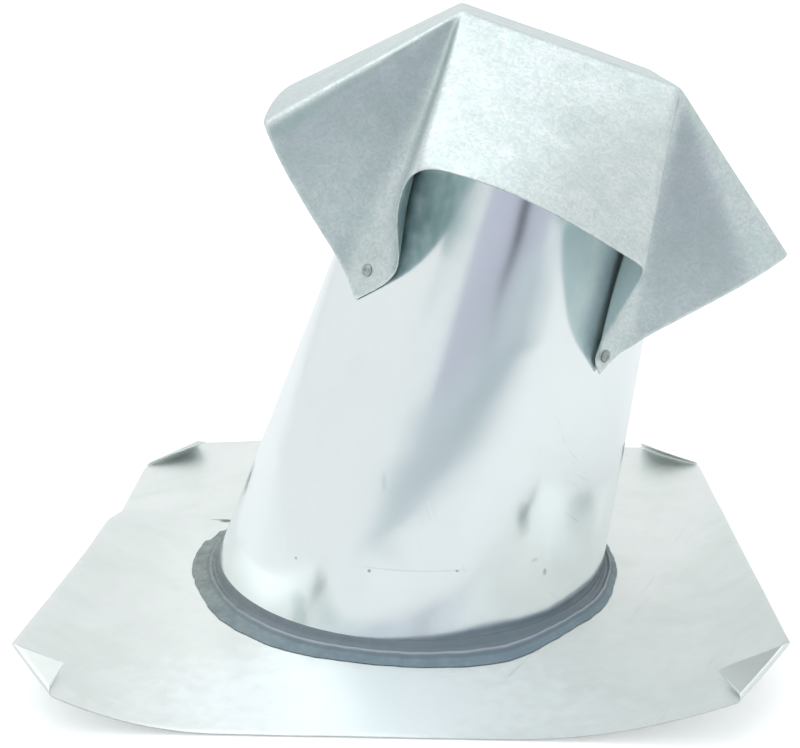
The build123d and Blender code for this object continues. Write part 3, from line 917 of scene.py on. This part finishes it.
# %% Spangle group
def spangle_group():
    tree, given, result = new_group(
        "Zinc spangle",
        [
            ("Cells per Metre", FLOAT, 220.0), ("Cell Contrast", FLOAT, 0.05),
            ("Cloud Contrast", FLOAT, 0.06), ("Clouds per Metre", FLOAT, 55.0),
        ],
        [("Shade", FLOAT), ("Roughness Shift", FLOAT), ("Height", FLOAT)],
    )
    place = object_place(tree)
    bend = noise_node(tree, place, 90.0, 2.0, "Color")
    spot = vector_node(tree, "ADD", place, scale_node(tree, bend, 0.006))
    cells = add_node(tree, "ShaderNodeTexVoronoi", {"Vector": spot, "Scale": given["Cells per Metre"]})
    grey = add_node(tree, "ShaderNodeSeparateColor", {0: cells.outputs["Color"]}).outputs[0]
    cloud = noise_node(tree, place, given["Clouds per Metre"], 6.0, Roughness=0.7)
    crystal = math_node(tree, "MULTIPLY", math_node(tree, "SUBTRACT", grey, 0.5), given["Cell Contrast"])
    mist = math_node(tree, "MULTIPLY", math_node(tree, "SUBTRACT", cloud, 0.5), given["Cloud Contrast"])
    both = math_node(tree, "ADD", crystal, mist)
    tree.links.new(math_node(tree, "ADD", both, 1.0), result["Shade"])
    tree.links.new(math_node(tree, "MULTIPLY", both, -0.6), result["Roughness Shift"])
    tree.links.new(grey, result["Height"])
    return tree


# %% [markdown]
# Scratches: noise squeezed a hundredfold along one direction becomes streaks, and a narrow window on
# its value keeps only thin lines. A second, patchy noise decides where the sheet was rubbed at all.

# %% Scratch group
def scratch_group():
    tree, given, result = new_group(
        "Handling scratches",
        [("Amount", FLOAT, 0.5), ("Turn", FLOAT, 0.6)],
        [("Mask", FLOAT), ("Height", FLOAT)],
    )
    place = object_place(tree)
    masks = []
    for extra, stretch in ((0.0, (900.0, 16.0, 60.0)), (1.1, (24.0, 800.0, 700.0))):
        angle = math_node(tree, "ADD", given["Turn"], extra)
        inputs = {"Vector": place, "Angle": angle, "Axis": (0.3, 0.5, 0.8)}
        spun = add_node(tree, "ShaderNodeVectorRotate", inputs).outputs[0]
        streak = noise_node(tree, vector_node(tree, "MULTIPLY", spun, stretch), 1.0, 1.0)
        masks.append(ramp_node(tree, streak, 0.70, 0.78))
    patch = noise_node(tree, place, 22.0, 2.0)
    where = ramp_node(tree, patch, 0.48, 0.68)
    lines = math_node(tree, "MULTIPLY", math_node(tree, "MAXIMUM", *masks), where)
    mask = math_node(tree, "MULTIPLY", lines, given["Amount"])
    tree.links.new(mask, result["Mask"])
    tree.links.new(math_node(tree, "MULTIPLY", mask, -1.0), result["Height"])
    return tree


# %% [markdown]
# Smudges: broad, distorted noise for the dull film that hands and rain leave on bright zinc.

# %% Smudge group
def smudge_group():
    tree, given, result = new_group(
        "Dull smudges",
        [("Scale", FLOAT, 16.0), ("Start", FLOAT, 0.5), ("Amount", FLOAT, 0.5)],
        [("Mask", FLOAT)],
    )
    film = noise_node(tree, object_place(tree), given["Scale"], 4.0, Roughness=0.55, Distortion=0.8)
    end = math_node(tree, "ADD", given["Start"], 0.22)
    cover = ramp_node(tree, film, given["Start"], end)
    tree.links.new(math_node(tree, "MULTIPLY", cover, given["Amount"]), result["Mask"])
    return tree


# %% [markdown]
# Edge wear: the mesh knows where it is sharply convex. Folds and cut edges are rubbed a little
# brighter there, broken up by fine noise so that the line is never even.

# %% Wear group
def wear_group():
    tree, given, result = new_group("Rubbed edges", [("Amount", FLOAT, 0.5)], [("Mask", FLOAT)])
    sharp = add_node(tree, "ShaderNodeNewGeometry").outputs["Pointiness"]
    grain = noise_node(tree, object_place(tree), 260.0, 3.0)
    edge = math_node(tree, "MULTIPLY", ramp_node(tree, sharp, 0.52, 0.60), ramp_node(tree, grain, 0.35, 0.6))
    tree.links.new(math_node(tree, "MULTIPLY", edge, given["Amount"]), result["Mask"])
    return tree


# %% [markdown]
# Marks: one soft spot at a chosen place, for the tinted areas that the photo shows on the pipe, the
# flashing and the inside of the cap. On the flashing and the inside of the cap they are painted shade,
# painted shadow and a painted reflection.

# %% Mark group
def mark_group():
    tree, given, result = new_group(
        "Soft mark",
        [("Centre", VECTOR, (0.0, 0.0, 0.0)), ("Radii", VECTOR, (0.01, 0.01, 0.01)), ("Amount", FLOAT, 0.5)],
        [("Mask", FLOAT)],
    )
    place = object_place(tree)
    fine = noise_node(tree, place, 120.0, 3.0)
    away = vector_node(tree, "SUBTRACT", place, given["Centre"])
    sized = vector_node(tree, "DIVIDE", away, given["Radii"])
    far = add_node(tree, "ShaderNodeVectorMath", {0: sized}, operation="LENGTH").outputs["Value"]
    grain = math_node(tree, "MULTIPLY", math_node(tree, "SUBTRACT", fine, 0.5), 0.9)
    ragged = math_node(tree, "ADD", far, grain)
    spot = ramp_node(tree, ragged, 1.0, 0.3)
    tree.links.new(math_node(tree, "MULTIPLY", spot, given["Amount"]), result["Mask"])
    return tree


GROUPS = {
    "spangle": spangle_group(),
    "scratch": scratch_group(),
    "smudge": smudge_group(),
    "wear": wear_group(),
    "mark": mark_group(),
}
print("node groups", sorted(g.name for g in GROUPS.values()))

# %% [markdown]
# ## Materials
# The three sheets are the same metal in three states. The pipe is the brightest and smoothest, the
# flashing is a little duller, and the cap is weathered matte with a strong spangle. Colours are mixed
# in one chain: shade by the spangle, dull by smudges, tint by marks, then scratch, and brighten the edges.
# The cap's inside is a second material, because Solidify can give the two sides of a sheet one each.
# Its teal tone and one dark teal patch are painted shade for the underside of the hood.

# %% Zinc material
def use_group(tree, key, **values):
    node = add_node(tree, "ShaderNodeGroup", node_tree=GROUPS[key])
    for socket, value in values.items():
        node.inputs[socket.replace("_", " ")].default_value = value
    return node.outputs


def mix_color(tree, factor, a, b):
    node = add_node(tree, "ShaderNodeMix", data_type="RGBA")
    for socket, source in ((node.inputs[0], factor), (node.inputs[6], a), (node.inputs[7], b)):
        if isinstance(source, bpy.types.NodeSocket):
            tree.links.new(source, socket)
        else:
            socket.default_value = source
    return node.outputs[2]


DULLED, GREENED = (0.70, 0.74, 0.72), (0.72, 0.84, 0.78)
SCRATCHED, RUBBED = (0.42, 0.45, 0.45, 1.0), (0.93, 0.96, 0.96, 1.0)


def times(color, factors):
    return (*(c * k for c, k in zip(color, factors)), 1.0)


def zinc(
    name, color, roughness, metallic, cells, contrast, cloud, smudge, scratch, wear,
    marks=(), bump=0.05, green=0.0,
):
    material = bpy.data.materials.new(name)
    material.use_nodes = True
    tree = material.node_tree
    shader = tree.nodes["Principled BSDF"]
    shader.inputs["Metallic"].default_value = metallic
    skin = use_group(tree, "spangle", Cells_per_Metre=cells, Cell_Contrast=contrast, Cloud_Contrast=cloud)
    shaded = scale_node(tree, color, skin["Shade"])
    film = use_group(tree, "smudge", Scale=17.0, Start=0.47, Amount=smudge)["Mask"]
    tint = mix_color(tree, film, shaded, times(color, DULLED))
    cast = use_group(tree, "smudge", Scale=70.0, Start=0.42, Amount=green)["Mask"]
    tint = mix_color(tree, cast, tint, times(color, GREENED))
    rough = math_node(tree, "ADD", math_node(tree, "MULTIPLY", film, 0.16), roughness)
    rough = math_node(tree, "ADD", rough, skin["Roughness Shift"])
    # On the flashing and the cap's inside the marks paint shade, shadow and reflection into the colour.
    for centre, radii, amount, mark_color in marks:
        mask = use_group(tree, "mark", Centre=centre, Radii=radii, Amount=amount)["Mask"]
        tint = mix_color(tree, mask, tint, (*mark_color, 1.0))
    lines = use_group(tree, "scratch", Amount=scratch)
    tint = mix_color(tree, lines["Mask"], tint, SCRATCHED)
    rubbed = use_group(tree, "wear", Amount=wear)["Mask"]
    tint = mix_color(tree, rubbed, tint, RUBBED)
    tree.links.new(tint, shader.inputs["Base Color"])
    tree.links.new(rough, shader.inputs["Roughness"])
    height = math_node(tree, "ADD", math_node(tree, "MULTIPLY", skin["Height"], 0.15), lines["Height"])
    relief = add_node(tree, "ShaderNodeBump", {"Height": height, "Strength": bump, "Distance": 0.0002})
    tree.links.new(relief.outputs[0], shader.inputs["Normal"])
    return material


# %% Dress the sheets
DARK, GREEN, GREY = (0.20, 0.24, 0.24), (0.40, 0.52, 0.49), (0.50, 0.55, 0.56)
# Pale bluish is the colour of a painted reflection on the flashing; teal is the colour of painted shade
# inside the cap.
PAINTED_REFLECTION_PALE, PAINTED_SHADE_TEAL = (0.93, 0.98, 1.0), (0.28, 0.41, 0.41)
# For each mark: centre, radii, amount, colour.
FLASHING_PAINTED_LIGHT = (
    # painted shade: the dark green of the back-left ear and of the sheet under it
    ((-0.156, 0.146, 0.0068), (0.030, 0.034, 0.0052), 0.5, GREEN),
    # painted shadow: a dark crescent on the sheet behind the pipe, in two strokes, standing for a small
    # wrinkle's shadow
    ((-0.1120, 0.0462, 0.0006), (0.0058, 0.0030, 0.004), 1.0, DARK),
    ((-0.1165, 0.0478, 0.0006), (0.0065, 0.0010, 0.004), 0.6, DARK),
    # painted reflection: a pale bluish band across the front of the flashing
    ((-0.0200, -0.1550, 0.0006), (0.1300, 0.0700, 0.060), 0.9, PAINTED_REFLECTION_PALE),
)
PIPE_MARKS = (
    ((-0.0551, -0.0870, 0.0100), (0.008, 0.008, 0.016), 0.45, GREEN),
    ((0.0571, -0.0865, 0.0634), (0.005, 0.006, 0.012), 0.45, GREY),
    ((-0.0574, -0.0785, 0.0372), (0.0011, 0.003, 0.0013), 0.7, DARK),
    ((-0.0192, -0.0964, 0.0393), (0.0011, 0.003, 0.0011), 0.7, DARK),
    ((0.0243, -0.0979, 0.0407), (0.0012, 0.003, 0.0009), 0.7, DARK),
    ((0.0632, -0.0833, 0.0402), (0.0030, 0.004, 0.0016), 0.45, GREY),
    ((0.0686, -0.0794, 0.0317), (0.0013, 0.003, 0.0026), 0.5, DARK),
    ((0.0020, -0.0975, 0.0410), (0.0420, 0.012, 0.0005), 0.35, GREY),
    ((-0.0118, -0.0890, 0.0842), (0.0022, 0.004, 0.0060), 0.25, GREY),
)
# painted shade: a dark teal patch inside the front-left hood
UNDER_HOOD_PAINTED_SHADE = (((-0.035, -0.075, 0.215), (0.070, 0.070, 0.080), 1.0, PAINTED_SHADE_TEAL),)
flashing.data.materials.append(zinc(
    "flashing zinc", (0.84, 0.875, 0.86), roughness=0.39, metallic=0.9, cells=240.0, contrast=0.015,
    cloud=0.10, smudge=0.14, scratch=0.30, wear=0.5, marks=FLASHING_PAINTED_LIGHT,
))
pipe.data.materials.append(zinc(
    "pipe zinc", (0.89, 0.925, 0.935), roughness=0.17, metallic=1.0, cells=200.0, contrast=0.008,
    cloud=0.03, smudge=0.06, scratch=0.25, wear=0.4, marks=PIPE_MARKS, bump=0.015,
))
cap.data.materials.append(zinc(
    "cap zinc", (0.66, 0.715, 0.72), roughness=0.36, metallic=0.9, cells=800.0, contrast=0.16,
    cloud=0.24, smudge=0.15, scratch=0.35, wear=0.6, bump=0.10, green=0.28,
))
# painted shade: the inside's teal tone stands for the shade and teal reflections under the hood
cap.data.materials.append(zinc(
    "cap inside", (0.68, 0.79, 0.79), roughness=0.38, metallic=0.9, cells=520.0, contrast=0.05,
    cloud=0.20, smudge=0.40, scratch=0.20, wear=0.3, marks=UNDER_HOOD_PAINTED_SHADE,
))
for piece in (flashing, pipe, cap):
    print(piece.name, "wears", [material.name for material in piece.data.materials])

# %% [markdown]
# Rivets are plain dull aluminium and the mastic is a cured, dusty grey paste, so each has a small
# material of its own; they still share the smudge and edge groups. The mastic also reads two values
# stored on its mesh: how far a point lies from the ridge, and how much it faces the front. With them it
# adds painted shade in the hollow and on the front, a painted highlight on the ridge and a painted
# shadow just below it.

# %% Rivet and sealant materials
def plain(name, color, roughness, metallic, grain_scale, grain_depth, dirt):
    material = bpy.data.materials.new(name)
    material.use_nodes = True
    tree = material.node_tree
    shader = tree.nodes["Principled BSDF"]
    shader.inputs["Metallic"].default_value = metallic
    grain = noise_node(tree, object_place(tree), grain_scale, 5.0, Roughness=0.6)
    film = use_group(tree, "smudge", Scale=60.0, Start=0.42, Amount=dirt)["Mask"]
    light = tuple(min(c * 1.28, 1.0) for c in color)
    tint = mix_color(tree, ramp_node(tree, grain, 0.35, 0.7), (*color, 1.0), (*light, 1.0))
    tint = mix_color(tree, film, tint, (*(c * 0.6 for c in color), 1.0))
    rubbed = use_group(tree, "wear", Amount=0.35)["Mask"]
    tint = mix_color(tree, rubbed, tint, (*light, 1.0))
    tree.links.new(tint, shader.inputs["Base Color"])
    rough = ramp_node(tree, grain, 0.3, 0.7, roughness - 0.08, roughness + 0.08)
    tree.links.new(rough, shader.inputs["Roughness"])
    relief = add_node(tree, "ShaderNodeBump", {"Height": grain, "Strength": 0.5, "Distance": grain_depth})
    tree.links.new(relief.outputs[0], shader.inputs["Normal"])
    return material


def mastic():
    """The tooled hollow is smooth and in bluish painted shade, the front side is painted darker and bluish,
    the ridge has a painted highlight with a painted shadow just below it, and the skirt is dusty.
    """
    material = plain(
        "grey mastic", (0.235, 0.275, 0.265), roughness=0.55, metallic=0.0,
        grain_scale=300.0, grain_depth=0.0008, dirt=0.45,
    )
    tree = material.node_tree
    shader = tree.nodes["Principled BSDF"]
    body = shader.inputs["Base Color"].links[0].from_socket
    at = add_node(tree, "ShaderNodeAttribute", attribute_name="from ridge").outputs["Fac"]
    front = add_node(tree, "ShaderNodeAttribute", attribute_name="in front").outputs["Fac"]
    # painted shade: the side that faces the front is tinted darker and bluish
    body = mix_color(tree, math_node(tree, "MULTIPLY", front, 0.55), body, (0.18, 0.29, 0.40, 1.0))
    # painted shade in the hollow against the pipe
    hollow = ramp_node(tree, at, -0.06, -0.20)
    # painted highlight along the ridge, in front only
    ridge_highlight = math_node(tree, "MULTIPLY", ramp_node(tree, at, -0.10, -0.01), ramp_node(tree, at, 0.08, 0.0))
    ridge_highlight = math_node(tree, "MULTIPLY", ridge_highlight, ramp_node(tree, front, 0.25, 0.75))
    # painted shadow in a thin line just below the ridge
    crease_shadow = math_node(tree, "MULTIPLY", ramp_node(tree, at, 0.04, 0.09), ramp_node(tree, at, 0.22, 0.12))
    tint = mix_color(tree, math_node(tree, "MULTIPLY", hollow, 0.6), body, (0.16, 0.19, 0.22, 1.0))
    tint = mix_color(tree, math_node(tree, "MULTIPLY", ridge_highlight, 0.75), tint, (0.50, 0.49, 0.58, 1.0))
    tint = mix_color(tree, math_node(tree, "MULTIPLY", crease_shadow, 0.5), tint, (0.12, 0.15, 0.18, 1.0))
    tree.links.new(tint, shader.inputs["Base Color"])
    tree.links.new(ramp_node(tree, at, -0.05, 0.2, 0.30, 0.65), shader.inputs["Roughness"])
    return material


rivets.data.materials.append(plain(
    "rivet aluminium", (0.40, 0.44, 0.43), roughness=0.42, metallic=0.85,
    grain_scale=500.0, grain_depth=0.0001, dirt=0.5,
))
sealant.data.materials.append(mastic())
for piece in (rivets, sealant):
    print(piece.name, "wears", piece.data.materials[0].name)

# %% [markdown]
# ## Stage: floor, world and lights
# Bright zinc looks like what stands round it, so the stage is a room made for its reflections. Behind
# the camera stand a lilac front board, which draws the soft band down the middle of the pipe, a bright
# board to its right and a teal card up on the left. A low skirting and a mat on the floor grade the
# reflection towards the foot, and a narrow dark slit draws the one thin line. All of them glow white to
# the camera alone, so that the picture's background stays plain.

# %% Floor and cards
def plane(name, size, location, rotation, color, emission=1.0):
    mesh = bpy.data.meshes.new(name)
    x, y = size[0] / 2, size[1] / 2
    mesh.from_pydata([(-x, -y, 0), (x, -y, 0), (x, y, 0), (-x, y, 0)], [], [(0, 1, 2, 3)])
    board = bpy.data.objects.new(name, mesh)
    board.location = location
    board.rotation_euler = rotation
    bpy.context.scene.collection.objects.link(board)
    material = bpy.data.materials.new(name)
    material.use_nodes = True
    shader = material.node_tree.nodes["Principled BSDF"]
    shader.inputs["Base Color"].default_value = (*color, 1.0)
    shader.inputs["Roughness"].default_value = 0.9
    shader.inputs["Specular IOR Level"].default_value = 0.0
    shader.inputs["Emission Color"].default_value = (1.0, 1.0, 1.0, 1.0)
    seen = add_node(material.node_tree, "ShaderNodeLightPath").outputs["Is Camera Ray"]
    glow = math_node(material.node_tree, "MULTIPLY", seen, emission)
    material.node_tree.links.new(glow, shader.inputs["Emission Strength"])
    mesh.materials.append(material)
    board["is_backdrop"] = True
    return board


UPRIGHT = (-math.pi / 2, 0.0, 0.0)
LEVEL = (0.0, 0.0, 0.0)
CARDS = (
    ("floor", (9.0, 9.0), (0.0, 0.0, -0.0005), LEVEL, (0.88, 0.89, 0.89), 0.35),
    ("front board", (1.075, 0.45), (0.0625, -1.25, 0.345), UPRIGHT, (0.64, 0.625, 0.73)),
    ("right board", (0.875, 0.45), (1.0375, -1.25, 0.345), UPRIGHT, (0.97, 1.0, 1.0)),
    ("left card", (0.90, 0.75), (-0.75, -1.25, 0.85), UPRIGHT, (0.22, 0.35, 0.36)),
    ("dark skirting", (2.2, 0.12), (0.20, -1.25, 0.06), UPRIGHT, (0.78, 0.82, 0.84)),
    ("front mat", (1.33, 0.50), (-0.085, -1.0, -0.0002), LEVEL, (0.41, 0.49, 0.52)),
    ("dark slit", (0.110, 0.36), (0.115, -1.2, 0.365), UPRIGHT, (0.02, 0.03, 0.04)),
)
for card in CARDS:
    print("stage", plane(*card).name)

# %% World
def build_world():
    world = bpy.data.worlds.new("room")
    world.use_nodes = True
    tree = world.node_tree
    tree.nodes.clear()
    out = add_node(tree, "ShaderNodeOutputWorld")
    way = add_node(tree, "ShaderNodeTexCoord").outputs["Generated"]
    axes = add_node(tree, "ShaderNodeSeparateXYZ", {0: way}).outputs
    upness = ramp_node(tree, axes["Z"], 0.0, 0.6)
    room = mix_color(tree, upness, (0.93, 0.97, 0.98, 1.0), (0.98, 1.0, 1.0, 1.0))
    lit = add_node(tree, "ShaderNodeBackground", {"Color": room, "Strength": 0.9})
    white = add_node(tree, "ShaderNodeBackground", {"Color": (1.0, 1.0, 1.0, 1.0), "Strength": 1.0})
    seen = add_node(tree, "ShaderNodeLightPath").outputs["Is Camera Ray"]
    both = add_node(tree, "ShaderNodeMixShader", {0: seen, 1: lit.outputs[0], 2: white.outputs[0]})
    tree.links.new(both.outputs[0], out.inputs["Surface"])
    bpy.context.scene.world = world


build_world()

# %% Lights
def area(name, location, target, size, power, color=(1.0, 1.0, 1.0)):
    data = bpy.data.lights.new(name, "AREA")
    data.shape = "RECTANGLE"
    data.size, data.size_y = size
    data.energy = power
    data.color = color
    lamp = bpy.data.objects.new(name, data)
    lamp.location = location
    lamp.rotation_euler = (Vector(target) - Vector(location)).to_track_quat("-Z", "Y").to_euler()
    bpy.context.scene.collection.objects.link(lamp)
    return lamp


overhead = area("overhead", (-0.3, 0.2, 1.8), (0.0, 0.0, 0.0), (2.4, 2.4), 12.0, (0.94, 0.99, 1.0))
print("lamp", overhead.name, overhead.data.energy, "W")

# %% [markdown]
# ## Camera
# The camera is matched to the photo: the corners of the flashing and cap fix where it stood.

# %% Camera
CAMERA_PLACE = (0.0250, -0.7768, 0.3749)
YAW, PITCH, ROLL = -2.39, 18.85, -0.28
LENS = 68.56


def place_camera():
    yaw, pitch, roll = (math.radians(angle) for angle in (YAW, PITCH, ROLL))
    ahead = Vector((math.sin(yaw) * math.cos(pitch), math.cos(yaw) * math.cos(pitch), -math.sin(pitch)))
    right = Vector((math.cos(yaw), -math.sin(yaw), 0.0))
    up = right.cross(ahead)
    tilted_right = right * math.cos(roll) + up * math.sin(roll)
    tilted_up = up * math.cos(roll) - right * math.sin(roll)
    data = bpy.data.cameras.new("photo camera")
    data.sensor_width = 36.0
    data.lens = LENS
    data.clip_start = 0.05
    camera = bpy.data.objects.new("photo camera", data)
    turn = Matrix((tilted_right, tilted_up, -ahead)).transposed().to_4x4()
    camera.matrix_world = Matrix.Translation(CAMERA_PLACE) @ turn
    bpy.context.scene.collection.objects.link(camera)
    bpy.context.scene.camera = camera


place_camera()
print("camera at", CAMERA_PLACE, "with a lens of", LENS, "mm")
bpy.context.scene.view_settings.view_transform = "Standard"

# %% [markdown]
# ## Close
# The box that the visible pieces fill is printed.

# %% Sizes and finish
low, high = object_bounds()
print("seen box", [round(v, 4) for v in low], [round(v, 4) for v in high])
